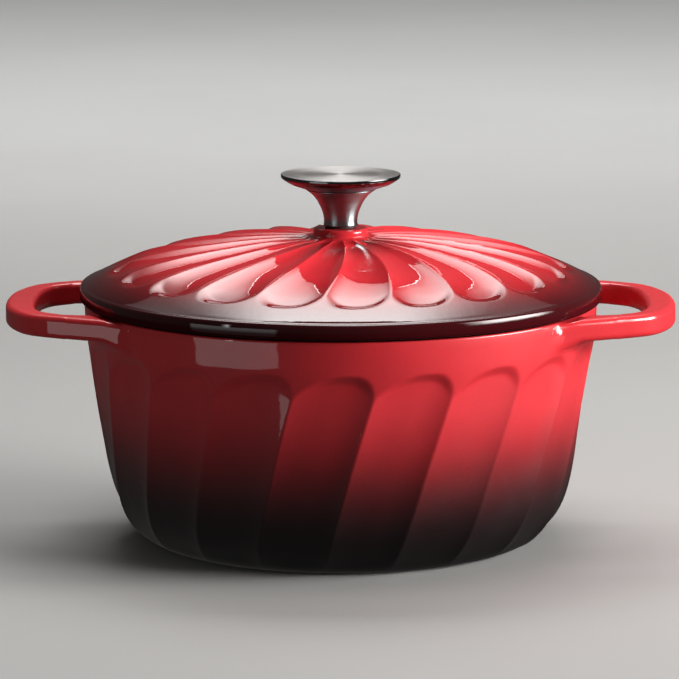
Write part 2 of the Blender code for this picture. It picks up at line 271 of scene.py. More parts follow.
OUT_HALF = HANDLE_OUT + ((170.9, -17.0),)
IN_HALF = HANDLE_IN + ((156.3, -12.0),)


def cut_at_middle(half):
    keep = half[half[:, 1] >= 0]
    end = np.array([[keep[-1, 0], 0.0]])
    return np.concatenate([keep, end]) if keep[-1, 1] > 1e-6 else keep


OUTER = both_sides(resampled(cut_at_middle(resampled(OUT_HALF, 500)), 110))
INNER = both_sides(resampled(cut_at_middle(resampled(IN_HALF, 500)), 110))
PLAN = np.concatenate([OUTER, INNER[::-1]])


def handle_top(r):
    return 122.35 + (HANDLE_TOP - 122.35) * smooth_step((r - 133.5) / 4.5)


def handle_bottom(r):
    return HANDLE_BOTTOM - (HANDLE_BOTTOM - HANDLE_ROOT_BOTTOM) * smooth_step((139.0 - r) / 9.5)


EDGE = 2.8


def handle_distance(p):
    """Signed distance to the right-hand handle, whose edges are rounded."""
    d = polygon_distance(p[:, :2], PLAN) + EDGE
    r = np.hypot(p[:, 0], p[:, 1])
    top, low = handle_top(r) - EDGE, handle_bottom(r) + EDGE
    h = np.maximum(p[:, 2] - top, low - p[:, 2])
    outside = np.sqrt(np.maximum(d, 0) ** 2 + np.maximum(h, 0) ** 2)
    return outside + np.minimum(np.maximum(d, h), 0) - EDGE


def rim_profile():
    """Outline of the wall's section near its top, (r, z), from inside to outside over the rim."""
    z = np.linspace(60, 119, 40)
    outer = np.stack([pot_radius(z), z], 1)
    top = rounded([(RIM_R, 119.0), (RIM_R - 0.1, POT_H - 0.05), (127.4, POT_H), (126.4, 119.0)], [0, 1.5, 1.0, 0], 6)
    inner = np.stack([np.full(2, 100.0), np.array([119.0, 60.0])], 1)
    return np.concatenate([outer, np.array(top[1:-1]), np.array([[126.4, 119.0]]), inner])


RIM = rim_profile()


def wall_distance(p):
    r = np.hypot(p[:, 0], p[:, 1])
    a = np.degrees(np.arctan2(p[:, 1], p[:, 0]))
    u = ((a - FLUTE_PHASE - FLUTE_TWIST * (p[:, 2] - FLUTE_REF_Z)) / (360.0 / FLUTES)) % 1.0 * 2 - 1
    return polygon_distance(np.stack([r + flute_depth(p[:, 2], u), p[:, 2]], 1), RIM)


FILLET = 3.0


def joined_distance(p):
    """Wall and handle as one casting, with a fillet where they meet; none on the rim's top, which stays level."""
    a, b = wall_distance(p), handle_distance(p)
    k = FILLET * (0.12 + 0.88 * smooth_step((121.2 - p[:, 2]) / 5.0))
    h = np.clip(0.5 + 0.5 * (b - a) / k, 0, 1)
    return b * (1 - h) + a * h - k * h * (1 - h)


def settle(p, rounds=7, reach=2.6):
    """Moves points onto the joined surface, by no more than reach."""
    start, q, e = p.copy(), p.copy(), 0.05
    for _ in range(rounds):
        d = joined_distance(q)
        g = np.stack([joined_distance(q + np.eye(3)[i] * e) - joined_distance(q - np.eye(3)[i] * e) for i in range(3)], 1) / (2 * e)
        q = q - np.clip(d, -0.8, 0.8)[:, None] * g / np.maximum((g**2).sum(1), 0.3)[:, None]
        move = q - start
        length = np.linalg.norm(move, axis=1)
        q = start + move * np.minimum(1, reach / np.maximum(length, 1e-9))[:, None]
    return q


def near_handle(v, margin=11.0):
    """Which points lie near where a handle's root meets the wall."""
    x = np.abs(v[:, 0])
    q = np.stack([x, v[:, 1], v[:, 2]], 1)
    box = (x > 100) & (np.abs(v[:, 1]) < 86) & (v[:, 2] > 92) & (v[:, 2] < 124)
    out = np.zeros(len(v), bool)
    i = np.nonzero(box)[0]
    if len(i):
        out[i] = handle_distance(q[i]) < margin
    return out


# ---------------------------------------------------------------- materials
class Nodes:
    """A small helper for building one material's nodes."""

    def __init__(self, name):
        self.material = bpy.data.materials.new(name)
        self.material.use_nodes = True
        self.tree = self.material.node_tree
        self.shader = self.tree.nodes["Principled BSDF"]

    def add(self, kind, **values):
        node = self.tree.nodes.new(kind)
        for k, v in values.items():
            setattr(node, k, v)
        return node

    def link(self, a, b):
        self.tree.links.new(a, b)

    def put(self, socket, value):
        if hasattr(value, "is_output"):
            self.link(value, socket)
        else:
            socket.default_value = value

    def math(self, operation, a, b=0.0, c=0.0, clamp=False):
        n = self.add("ShaderNodeMath", operation=operation, use_clamp=clamp)
        for socket, value in zip(n.inputs, (a, b, c)):
            self.put(socket, value)
        return n.outputs[0]

    def map(self, value, lo, hi, out_lo=0.0, out_hi=1.0, kind="SMOOTHSTEP"):
        n = self.add("ShaderNodeMapRange", interpolation_type=kind, clamp=True)
        for socket, v in zip(n.inputs, (value, lo, hi, out_lo, out_hi)):
            self.put(socket, v)
        return n.outputs[0]

    def mix(self, factor, a, b, blend="MIX"):
        n = self.add("ShaderNodeMix", data_type="RGBA", blend_type=blend)
        self.put(n.inputs[0], factor)
        self.put(n.inputs[6], a)
        self.put(n.inputs[7], b)
        return n.outputs[2]

    def coordinates(self):
        return self.add("ShaderNodeTexCoord").outputs["Object"]

    def xyz(self, vector):
        n = self.add("ShaderNodeSeparateXYZ")
        self.link(vector, n.inputs[0])
        return n.outputs

    def noise(self, vector, scale, detail=2.0, roughness=0.5, distortion=0.0):
        n = self.add("ShaderNodeTexNoise")
        self.link(vector, n.inputs["Vector"])
        for k, v in (("Scale", scale), ("Detail", detail), ("Roughness", roughness), ("Distortion", distortion)):
            n.inputs[k].default_value = v
        return n.outputs["Fac"]

    def ramp(self, value, stops, interpolation="B_SPLINE"):
        n = self.add("ShaderNodeValToRGB")
        n.color_ramp.interpolation = interpolation
        while len(n.color_ramp.elements) < len(stops):
            n.color_ramp.elements.new(0.5)
        for e, (at, colour) in zip(n.color_ramp.elements, stops):
            e.position = at
            e.color = (*colour, 1.0)
        self.put(n.inputs[0], value)
        return n.outputs[0]

    def bump(self, height, distance, strength=1.0, under=None):
        n = self.add("ShaderNodeBump")
        n.inputs["Strength"].default_value = strength
        n.inputs["Distance"].default_value = distance
        self.link(height, n.inputs["Height"])
        if under is not None:
            self.link(under, n.inputs["Normal"])
        return n.outputs[0]

    def vector(self, x, y, z):
        n = self.add("ShaderNodeCombineXYZ")
        for socket, v in zip(n.inputs, (x, y, z)):
            self.put(socket, v)
        return n.outputs[0]


def enamel(name, position, stops, orange_peel=1.0, coat_ior=1.42, at_edges=1.0, bare_below=None, fall=(0.15, 0.78), under=0.0, matt=(0.2, 0.32)):
    """Glossy vitreous enamel, sprayed from one colour to another. position(nodes, xyz) gives where along the fade.

    at_edges is the share of the gloss that is left where the surface turns away, and under the strength of the soft
    gloss below the clear coat."""
    n = Nodes(name)
    co = n.coordinates()
    x, y, z = n.xyz(co)
    drift = n.math("MULTIPLY", n.math("SUBTRACT", n.noise(co, 16.0, 3.0, 0.55), 0.5), 0.05)
    mist = n.math("MULTIPLY", n.math("SUBTRACT", n.noise(co, 900.0, 2.0, 0.6), 0.5), 0.045)
    at = n.math("ADD", n.math("ADD", position(n, x, y, z), drift), mist)
    colour = n.ramp(at, stops)
    cloud = n.map(n.noise(co, 34.0, 4.0, 0.6), 0.3, 0.7, 0.93, 1.05, "LINEAR")
    grain = n.map(n.noise(co, 1400.0, 2.0, 0.5), 0.35, 0.65, 0.96, 1.03, "LINEAR")
    tone = n.math("MULTIPLY", cloud, grain)
    n.link(n.mix(1.0, colour, n.vector(tone, tone, tone), "MULTIPLY"), n.shader.inputs["Base Color"])
    rough = n.map(n.noise(co, 55.0, 4.0, 0.6), 0.3, 0.7, matt[0], matt[1], "LINEAR")
    n.link(rough, n.shader.inputs["Roughness"])
    s = n.shader.inputs
    s["IOR"].default_value = 1.5
    s["Specular IOR Level"].default_value = under
    s["Coat Weight"].default_value = 1.0
    if bare_below is not None:
        n.link(n.map(z, bare_below, bare_below + 0.002, 0.12, 1.0), s["Coat Weight"])
    if at_edges < 1.0:
        turned_away = n.add("ShaderNodeLayerWeight").outputs["Facing"]
        n.link(n.map(turned_away, fall[0], fall[1], 1.0, at_edges), s["Coat Weight"])
    s["Coat Roughness"].default_value = 0.03
    s["Coat IOR"].default_value = coat_ior
    swell = n.bump(n.noise(co, 120.0, 2.0, 0.5), 0.00022 * orange_peel, 0.5)
    peel = n.bump(n.noise(co, 420.0, 2.0, 0.5), 0.00003 * orange_peel, 0.45, swell)
    n.link(peel, s["Normal"])
    n.link(peel, s["Coat Normal"])
    return n.material


def cream_enamel():
    """Plain light enamel inside the pot and under the lid."""
    n = Nodes("cream_enamel")
    co = n.coordinates()
    fleck = n.map(n.noise(co, 1100.0, 1.0, 0.4), 0.68, 0.74, 0.0, 0.35)
    base = n.ramp(n.noise(co, 26.0, 4.0, 0.6), ((0.3, (0.74, 0.68, 0.56)), (0.7, (0.80, 0.75, 0.64))))
    n.link(n.mix(fleck, base, (0.42, 0.36, 0.28, 1.0)), n.shader.inputs["Base Color"])
    n.link(n.map(n.noise(co, 60.0, 3.0, 0.6), 0.3, 0.7, 0.16, 0.27, "LINEAR"), n.shader.inputs["Roughness"])
    s = n.shader.inputs
    s["Coat Weight"].default_value = 0.7
    s["Coat Roughness"].default_value = 0.06
    swell = n.bump(n.noise(co, 110.0, 2.0, 0.5), 0.0002, 0.4)
    peel = n.bump(n.noise(co, 500.0, 2.0, 0.5), 0.00003, 0.5, swell)
    n.link(peel, s["Normal"])
    n.link(peel, s["Coat Normal"])
    return n.material


def bare_iron():
    """The matt black unglazed edge of rim and lid."""
    n = Nodes("bare_iron_edge")
    co = n.coordinates()
    n.link(n.ramp(n.noise(co, 300.0, 5.0, 0.65), ((0.3, (0.011, 0.009, 0.009)), (0.7, (0.035, 0.028, 0.026)))), n.shader.inputs["Base Color"])
    n.link(n.map(n.noise(co, 500.0, 4.0, 0.6), 0.3, 0.7, 0.42, 0.68, "LINEAR"), n.shader.inputs["Roughness"])
    n.shader.inputs["Specular IOR Level"].default_value = 0.12
    n.link(n.bump(n.noise(co, 1200.0, 4.0, 0.6), 0.00012, 0.6), n.shader.inputs["Normal"])
    return n.material


def steel(name, lines, rough, tint, depth, grain=1.0):
    """Stainless steel with fine lathe lines. lines is their number in a metre of radius or height."""
    n = Nodes(name)
    co = n.coordinates()
    x, y, z = n.xyz(co)
    r = n.math("SQRT", n.math("ADD", n.math("MULTIPLY", x, x), n.math("MULTIPLY", y, y)))
    along = n.math("ADD", r, z)
    fine = n.noise(n.vector(n.math("MULTIPLY", along, lines), 0.0, 0.0), 1.0, 3.0, 0.7)
    broad = n.noise(n.vector(n.math("MULTIPLY", along, lines * 0.13), 0.3, 0.0), 1.0, 2.0, 0.5)
    wipe = n.noise(co, 70.0, 4.0, 0.6)
    tone = n.math("ADD", n.map(fine, 0.25, 0.75, -0.05 * grain, 0.05 * grain, "LINEAR"), n.map(wipe, 0.3, 0.7, -0.02, 0.02, "LINEAR"))
    n.link(n.ramp(n.math("ADD", tone, 0.5), ((0.40, tuple(c * 0.86 for c in tint)), (0.60, tint))), n.shader.inputs["Base Color"])
    r_all = n.math("ADD", n.map(broad, 0.3, 0.7, rough * (1 - 0.15 * grain), rough * (1 + 0.2 * grain), "LINEAR"), n.map(fine, 0.3, 0.7, -0.02 * grain, 0.03 * grain, "LINEAR"))
    n.link(r_all, n.shader.inputs["Roughness"])
    n.shader.inputs["Metallic"].default_value = 1.0
    n.link(n.bump(fine, depth, 0.5), n.shader.inputs["Normal"])
    return n


def brushed_top():
    """Concentric brushing on the knob's top disc: the grain runs round the centre, so highlights fan out from it."""
    n = steel("knob_top_brushed", 9000.0, 0.38, (0.41, 0.40, 0.39), 0.000012)
    tangent = n.add("ShaderNodeTangent", direction_type="RADIAL", axis="Z")
    n.link(tangent.outputs[0], n.shader.inputs["Tangent"])
    n.shader.inputs["Anisotropic"].default_value = 0.55
    n.shader.inputs["Anisotropic Rotation"].default_value = 0.25
    return n.material


def polished(name, rough, tint):
    n = steel(name, 3500.0, rough, tint, 0.00000005, 0.12)
    tangent = n.add("ShaderNodeTangent", direction_type="RADIAL", axis="Z")
    n.link(tangent.outputs[0], n.shader.inputs["Tangent"])
    n.shader.inputs["Anisotropic"].default_value = 0.8
    n.shader.inputs["Anisotropic Rotation"].default_value = 0.25
    return n.material


# Painted reflection: the polished rim's steel is tinted far darker than bare steel. This stands in for the dark
# surroundings that the edge mirrors as a black band.
def bright_rim():
    return steel("knob_rim_bright_painted_dark_reflection", 3000.0, 0.07, (0.12, 0.12, 0.12), 0.000002).material


def fastener_steel():
    return steel("fastener_steel", 5000.0, 0.26, (0.52, 0.51, 0.50), 0.00001).material


def rubber():
    n = Nodes("gasket_rubber")
    co = n.coordinates()
    n.link(n.ramp(n.noise(co, 700.0, 3.0, 0.6), ((0.3, (0.010, 0.010, 0.011)), (0.7, (0.024, 0.023, 0.023)))), n.shader.inputs["Base Color"])
    n.link(n.map(n.noise(co, 900.0, 3.0, 0.6), 0.3, 0.7, 0.48, 0.66, "LINEAR"), n.shader.inputs["Roughness"])
    n.link(n.bump(n.noise(co, 2500.0, 2.0, 0.6), 0.00004, 0.5), n.shader.inputs["Normal"])
    return n.material


RED = (0.56, 0.029, 0.038)
POT_STOPS = ((0.0, (0.0030, 0.0015, 0.0018)), (0.17, (0.0045, 0.0018, 0.0022)), (0.29, (0.024, 0.0035, 0.0045)), (0.42, (0.13, 0.0085, 0.011)), (0.56, (0.39, 0.017, 0.023)), (0.70, RED), (1.0, (0.60, 0.021, 0.029)))
LID_STOPS = ((0.0, (0.60, 0.025, 0.034)), (0.62, RED), (0.76, (0.44, 0.017, 0.023)), (0.86, (0.20, 0.009, 0.012)), (0.93, (0.070, 0.0045, 0.0065)), (1.0, (0.030, 0.0025, 0.0038)))


def pot_position(n, x, y, z):
    return n.math("MULTIPLY", z, 1000.0 / 123.0)


def lid_position(n, x, y, z):
    r = n.math("SQRT", n.math("ADD", n.math("MULTIPLY", x, x), n.math("MULTIPLY", y, y)))
    return n.math("MULTIPLY", r, 1000.0 / 134.0)


POT_ENAMEL = enamel("pot_enamel_red", pot_position, POT_STOPS, 0.55, 1.42, 0.45, fall=(0.36, 0.85), under=0.2, matt=(0.42, 0.54))
HANDLE_ENAMEL = enamel("handle_enamel_red", pot_position, POT_STOPS, 0.3, 1.50, 0.5, fall=(0.42, 0.8), under=0.10, matt=(0.42, 0.54))
LID_ENAMEL = enamel("lid_enamel_red", lid_position, LID_STOPS, 0.5, 1.42, 1.0, 0.1262)
CREAM = cream_enamel()
BARE = bare_iron()
TOP_STEEL = brushed_top()
# Painted shade: the stem's steel is tinted darker and bluer than bare steel. This stands in for the shadowed lid round
# the boss that it mirrors, and damps the lid's red in its reflection.
STEM_STEEL_PAINTED_SHADE = polished("knob_stem_polished_painted_shade", 0.32, (0.28, 0.36, 0.37))
# Painted shade: the cone under the disc is tinted far darker and bluer than bare steel. This stands in for the shade
# under the disc that it mirrors, and damps the lid's red in its reflection.
CONE_STEEL_PAINTED_SHADE = polished("knob_cone_satin_painted_shade", 0.36, (0.15, 0.25, 0.29))
RIM_STEEL_PAINTED_DARK_REFLECTION = bright_rim()
FASTENER = fastener_steel()
RUBBER = rubber()


# ---------------------------------------------------------------- pot
def flute_columns(count, per):
    """Angle offsets (degrees) and u of every column, closer together at the ridges."""
    t = np.arange(per) / per * 2 - 1
    u = t * (1.22 - 0.22 * t * t)
    pitch = 360.0 / count
    angle = np.concatenate([pitch * k + pitch * (u + 1) / 2 for k in range(count)])
    return angle, np.tile(u, count)


def make_pot():
    angle, u = flute_columns(FLUTES, 22)
    n = len(angle)

    def ring(z, r=None, turn_z=None):
        a = np.radians(FLUTE_PHASE + angle + FLUTE_TWIST * ((z if turn_z is None else turn_z) - FLUTE_REF_Z))
        rr = np.full(n, r) if r is not None else pot_radius(z) - flute_depth(z, u)
        return np.stack([rr * np.cos(a), rr * np.sin(a), np.full(n, float(z))], 1)

    rings, index = [], []

    def put(r, band):
        rings.append(r)
        index.append(band)

    for r in (6.0, 30.0, 60.0, 84.0, 90.0):
        put(ring(0.0, r, 0.0), 0)
    put(ring(0.0, 92.2, 0.0), 0)
    put(ring(0.12, 94.0, 0.0), 0)
    z_list = np.concatenate([[0.5, 1.2, 2.1, 3.2, 4.5, 6.0, 7.8, 9.8, 12.0, 14.5, 17.5, 21.0], np.linspace(25, 89, 17), np.linspace(91, 108, 24), [110.0, 113.0, 116.0, 119.0]])
    for z in z_list:
        put(ring(z), 0)
    for r, z in rounded([(RIM_R, 119.0), (RIM_R - 0.1, POT_H - 0.05), (129.4, POT_H), (128.9, POT_H)], [0, 1.5, 0, 0], 6)[1:-1]:
        put(ring(z, r), 0)
    put(ring(POT_H - 0.03, 129.3), 1)
    for r, z in rounded([(129.2, POT_H), (127.2, POT_H - 0.02), (126.5, 119.0)], [0, 1.0, 0], 4)[1:]:
        put(ring(z, r, POT_H), 1)
    for z in np.concatenate([np.linspace(116, 40, 18), np.linspace(36, 12, 11)]):
        put(ring(z, float(pot_radius(z)) - WALL - 0.6 * float(smooth_step((30 - z) / 22.0)), POT_H), 2)
    z0, r0 = 12.0, float(pot_radius(12.0)) - WALL - 0.6
    for k in range(1, 10):
        t = k / 9
        p = (1 - t) ** 2 * np.array([r0, z0]) + 2 * t * (1 - t) * np.array([r0 - 4.0, FLOOR_Z + 0.1]) + t * t * np.array([84.0, FLOOR_Z])
        put(ring(p[1], p[0], POT_H), 2)
    for r in (60.0, 30.0, 6.0):
        put(ring(FLOOR_Z, r, POT_H), 2)
    verts, faces, mats = stitched(rings, index=index)
    near = near_handle(verts)
    band = np.repeat(np.arange(len(rings)), n)
    outer = near & (band < index.index(1))
    i = np.nonzero(outer)[0]
    side = np.sign(verts[i, 0])
    q = verts[i] * np.stack([side, side * side, side * side], 1)
    # the flutes aren't mirror images, so each side is settled against its own wall
    moved = np.where(side[:, None] > 0, settle_on(q, 1), settle_on(q, -1))
    moved[:, 0] *= side
    verts[i] = moved
    return outward(object_from("pot_casting", verts, faces, mats, (POT_ENAMEL, BARE, CREAM)))


def settle_on(q, side):
    """Settles points given in the right-hand handle's own frame; side -1 means that they lie at -X."""
    global wall_distance
    if side > 0:
        return settle(q)
    plain = wall_distance

    def flipped(p):
        return plain(p * np.array([-1.0, 1.0, 1.0]))

    wall_distance = flipped
    out = settle(q)
    wall_distance = plain
    return out


def make_handle(name, side):
    """A loop handle: a rounded rectangular section carried along the U from root to root, flared into the wall."""
    section = [(c, cos(radians(90 * c + 15 * s)), sin(radians(90 * c + 15 * s))) for c in range(4) for s in range(7)]
    rings = []
    for o, c in zip(OUTER, INNER):
        axis = (o - c) / np.linalg.norm(o - c)
        pts = []
        for corner, ca, sa in section:
            base = o - axis * EDGE if corner in (0, 3) else c + axis * EDGE
            xy = base + axis * ca * EDGE
            r = np.hypot(*xy)
            z = (handle_top(r) - EDGE if corner in (0, 1) else handle_bottom(r) + EDGE) + sa * EDGE
            pts.append((xy[0], xy[1], float(z)))
        full = []
        for i, p in enumerate(pts):  # more points across the flat faces
            q = pts[(i + 1) % len(pts)]
            full.append(p)
            gap = np.linalg.norm(np.subtract(q, p))
            for k in range(1, 5 if gap > 2.5 else 1):
                full.append(tuple(np.add(p, np.subtract(q, p) * k / 5)))
        rings.append(full)
    count = max(len(r) for r in rings)
    rings = [np.array(r) for r in rings if len(r) == count]
    verts, faces, mats = stitched(rings)
    r = np.hypot(verts[:, 0], verts[:, 1])
    i = np.nonzero((r > 128.8) & (r < 150.0))[0]
    verts[i] = settle_on(verts[i], side)
    verts[:, 0] *= side
    return outward(object_from(name, verts, faces, mats, (HANDLE_ENAMEL,)))


# ---------------------------------------------------------------- lid
def under_height(r):
    return lid_height(np.maximum(r, 16.0)) - LID_WALL


NUBS = [(radius, 2 * pi * (i + 0.5 * (count % 2)) / count) for radius, count in NUB_RINGS for i in range(count)]


def nub_drop(x, y):
    out = np.zeros_like(x)
    for radius, a in NUBS:
        d = np.hypot(x - radius * cos(a), y - radius * sin(a))
        out = np.maximum(out, NUB_H * smooth_step((4.3 - d) / 3.4))
    return out


def make_lid():
    angle, u = flute_columns(PETALS, 20)
    n = len(angle)

    def around(r, at=None):
        return np.radians(PETAL_PHASE + angle + float(swirl(110.0)) - float(swirl(r if at is None else at)))

    def ring(r, z, at=None):
        a = around(r, at)
        return np.stack([r * np.cos(a), r * np.sin(a), np.full(n, float(z)) if np.ndim(z) == 0 else z], 1)

    rings, index = [], []

    def put(r, band):
        rings.append(r)
        index.append(band)

    put(ring(LID_HOLE, LID_PAD_Z + 0.3, 12), 1)
    put(ring(LID_HOLE, BOSS_TOP - 0.4, 12), 0)
    put(ring(LID_HOLE + 0.4, BOSS_TOP, 12), 0)
    for r, z in rounded([(6.0, BOSS_TOP), (BOSS_R - 0.1, BOSS_TOP), (BOSS_R, BOSS_TOP - 3.6), (BOSS_R + 1.2, 155.75), (20.0, 155.45)], [0, 2.8, 0.6, 2.6, 0], 9)[:-1]:
        put(ring(r, z, 12), 0)
    radii = np.concatenate([np.linspace(18.5, 30, 7), np.linspace(34, 104, 26), np.linspace(106, 122.5, 34), np.linspace(124, 128.7, 5)])
    for r in radii:
        put(ring(r, float(lid_height(r)) - petal_depth(r, u)), 0)
    bead = curve_profile(LID_BEAD, 22)
    lip = bead + rounded([(LID_R, 127.0), (133.95, 125.0), (133.2, LIP_Z + 0.05), (131.0, LIP_Z), (129.8, SEAT_Z + 0.02)], [0, 1.4, 0.9, 0.4, 0], 6)[1:]
    for r, z in lip[:-1]:
        put(ring(r, z, 130), 0 if z > LIP_Z + 0.25 else 1)
    put(ring(129.6, SEAT_Z + 0.02, 130), 1)
    for r, z in rounded([(129.6, SEAT_Z), (RING_OUT, SEAT_Z), (RING_OUT - 0.4, RING_Z), (RING_IN + 0.4, RING_Z), (RING_IN - 0.4, float(under_height(120.6))), (118.0, float(under_height(118.0)))], [0, 0.8, 1.2, 1.2, 3.0, 0], 4)[1:-1]:
        put(ring(r, z, 130), 1 if z > 119.5 and r > 123.5 else 2)
    for r in np.concatenate([np.linspace(118, 14, 62)]):
        a = around(130)
        x, y = r * np.cos(a), r * np.sin(a)
        z = under_height(r) - nub_drop(x, y)
        put(np.stack([x, y, z], 1), 2)
    put(ring(12.4, LID_PAD_Z + 0.06, 130), 2)
    put(ring(11.6, LID_PAD_Z, 130), 2)
    put(ring(6.0, LID_PAD_Z, 100), 2)
    put(ring(LID_HOLE + 0.4, LID_PAD_Z, 12), 1)
    verts, faces, mats = stitched(rings, closed=True, index=index)
    return outward(object_from("lid_casting", verts, faces, mats, (LID_ENAMEL, BARE, CREAM)))


# ---------------------------------------------------------------- knob and fastening
def curve_profile(points, steps):
    """A smooth curve through (r, z) points."""
    return [tuple(p) for p in resampled(points, steps)]


def make_stem():
    outside = curve_profile([(8.75, 161.6), (8.55, 163.4), (8.75, 165.6), (9.3, 168.0), (10.5, 171.0), (12.4, 174.5), (15.0, 177.5), (18.2, 179.9)], 46)
    profile = [(4.4, 161.25), (8.45, 161.25)] + outside + [(18.0, 180.1), (17.2, 180.1), (13.2, 178.0), (9.4, 175.6), (7.2, 175.6), (7.2, 161.8), (4.4, 161.8)]
    return turned("knob_stem_flare", profile, 160, (STEM_STEEL_PAINTED_SHADE,), closed=True)


def make_cap():
    """A brushed disc with a polished, tapered edge and a shallow cone underneath."""
    edge = [(27.6, 183.9), (29.3, 184.95), (30.2, 185.6), (30.5, 185.95), (30.6, 186.4), (30.66, 187.1)]
    profile = [(1.5, 184.9), (15.6, 184.9), (16.6, 184.4), (17.2, 180.6), (17.4, 180.4), (18.4, 180.35)] + curve_profile([(18.6, 180.4), (21.5, 181.3), (25.0, 182.5), (27.4, 183.72)], 10) + edge
    profile += [(30.66, 187.45), (30.5, 187.62), (30.2, 187.69), (29.9, 187.68), (26.0, 187.66), (1.2, 187.55)]
    index = []
    for (r, z), (r2, z2) in zip(profile, profile[1:]):
        index.append(0 if min(z, z2) > 187.5 and max(r, r2) <= 30.3 else (1 if z > 183.8 and r > 27.5 else 2))
    return turned("knob_top_disc", profile, 180, (TOP_STEEL, RIM_STEEL_PAINTED_DARK_REFLECTION, CONE_STEEL_PAINTED_SHADE), index=index)


def ring_piece(name, r0, r1, z0, z1, bevel, segments, mat):
    square = [(r1, z0), (r1, z1), (r0, z1), (r0, z0)]
    pts = []
    for i, p in enumerate(square):
        a, b = square[i - 1], square[(i + 1) % 4]
        for k in range(4):
            t = k / 3
            pa = np.array(p) + (np.array(a) - p) / np.linalg.norm(np.array(a) - p) * bevel
            pb = np.array(p) + (np.array(b) - p) / np.linalg.norm(np.array(b) - p) * bevel
            pts.append(tuple((1 - t) ** 2 * pa + 2 * t * (1 - t) * np.array(p) + t * t * pb))
    return turned(name, pts, segments, (mat,), closed=True)


def make_lock_washer():
    r0, r1, z0, z1 = 3.5, 5.6, 147.4, 149.0
    steps, rings = 90, []
    c = 0.12
    for i in range(steps + 1):
        a = radians(8 + 344 * i / steps)
        rise = 0.25 * (i / steps - 0.5)
        sec = [(r0 + c, z0 + 0.15), (r1 - c, z0 + 0.15), (r1, z0 + 0.15 + c), (r1, z1 - 0.15 - c), (r1 - c, z1 - 0.15), (r0 + c, z1 - 0.15), (r0, z1 - 0.15 - c), (r0, z0 + 0.15 + c)]
        rings.append(np.array([(r * cos(a), r * sin(a), z + rise) for r, z in sec]))
    v, f, m = stitched(rings)
    return outward(object_from("lock_washer_ring", v, f, m, (FASTENER,)))


def make_screw():
    """A slotted screw with a domed head, its thread cut as fine grooves above the lid."""
    profile = [(1.4, 173.0), (2.3, 173.0), (2.95, 172.4)]
    z = 172.0
    while z > 162.6:
        profile += [(2.95, z), (2.55, z - 0.5)]
        z -= 1.0
    profile += [(2.95, 162.0), (2.95, 147.1)]
    head = rounded([(2.95, 147.1), (6.1, 147.1), (6.1, 145.6), (5.2, 143.9), (3.2, 143.3), (1.2, 143.25)], [0, 0.25, 0.5, 1.5, 1.5, 0], 5)
    profile += head[1:]
    obj = turned("knob_screw_slotted", profile, 72, (FASTENER,))
    bm = bmesh.new()
    bmesh.ops.create_cube(bm, size=1.0)
    bmesh.ops.scale(bm, vec=(16 * MM, 1.5 * MM, 3.0 * MM), verts=bm.verts)
    bmesh.ops.translate(bm, vec=(0, 0, 143.3 * MM), verts=bm.verts)
    cutter_mesh = bpy.data.meshes.new("slot_cutter")
    bm.to_mesh(cutter_mesh)
    bm.free()
    cutter = bpy.data.objects.new("slot_cutter", cutter_mesh)
    bpy.context.scene.collection.objects.link(cutter)
    mod = obj.modifiers.new("slot", "BOOLEAN")
    mod.operation, mod.solver, mod.object = "DIFFERENCE", "EXACT", cutter
    evaluated = obj.evaluated_get(bpy.context.evaluated_depsgraph_get())
    cut = bpy.data.meshes.new_from_object(evaluated)
    obj.modifiers.clear()
    old = obj.data
    obj.data = cut
    bpy.data.meshes.remove(old)
    bpy.data.objects.remove(cutter, do_unlink=True)
    obj.data.shade_smooth()
    obj.data.set_sharp_from_angle(angle=radians(32))
    return obj


# ---------------------------------------------------------------- the object
def place(obj, body, slot, *nodes):
    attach(obj, body)
    if nodes:
        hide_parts(*nodes)
    return obj


place(make_pot(), "pot", "pot_enamel", "pot_body")
place(make_handle("handle_right", 1), "pot", "pot_enamel")
place(make_handle("handle_left", -1), "pot", "pot_enamel")
place(make_lid(), "lid", "lid_enamel", "lid")
place(make_stem(), "knob", "polished_steel", "knob_stem")
place(make_cap(), "knob", "brushed_steel", "knob_cap")
place(ring_piece("knob_gasket_ring", 4.2, 8.2, 160.3, 160.95, 0.25, 96, RUBBER), "knob", "gasket_rubber", "knob_gasket")
place(ring_piece("knob_insert_bush", 3.3, 6.9, 162.1, 175.0, 0.4, 64, FASTENER), "knob", "fastener_steel", "knob_insert")
place(ring_piece("flat_washer_disc", 3.5, 7.4, 149.3, 150.6, 0.3, 96, FASTENER), "knob", "fastener_steel", "flat_washer")
place(make_lock_washer(), "knob", "fastener_steel", "lock_washer")
place(make_screw(), "knob", "fastener_steel", "knob_screw")


# ---------------------------------------------------------------- stage
def floor_material():
    n = Nodes("studio_floor")
    co = n.coordinates()
    n.link(n.ramp(n.noise(co, 3.0, 3.0, 0.5), ((0.3, (0.315, 0.315, 0.31)), (0.7, (0.335, 0.335, 0.33)))), n.shader.inputs["Base Color"])
    n.shader.inputs["Roughness"].default_value = 0.7
    n.shader.inputs["Specular IOR Level"].default_value = 0.2
    return n.material


def make_floor():
    mesh = bpy.data.meshes.new("studio_floor")
    s = 6.0
    mesh.from_pydata([(-s, -s, -0.0002), (s, -s, -0.0002), (s, s, -0.0002), (-s, s, -0.0002)], [], [(0, 1, 2, 3)])
    mesh.materials.append(floor_material())
    obj = bpy.data.objects.new("studio_floor", mesh)
    bpy.context.scene.collection.objects.link(obj)
    # The pale floor stays out of the pot's own reflections, as dark cards around it would keep it.
    obj.visible_glossy = False
    obj.visible_diffuse = False


make_floor()


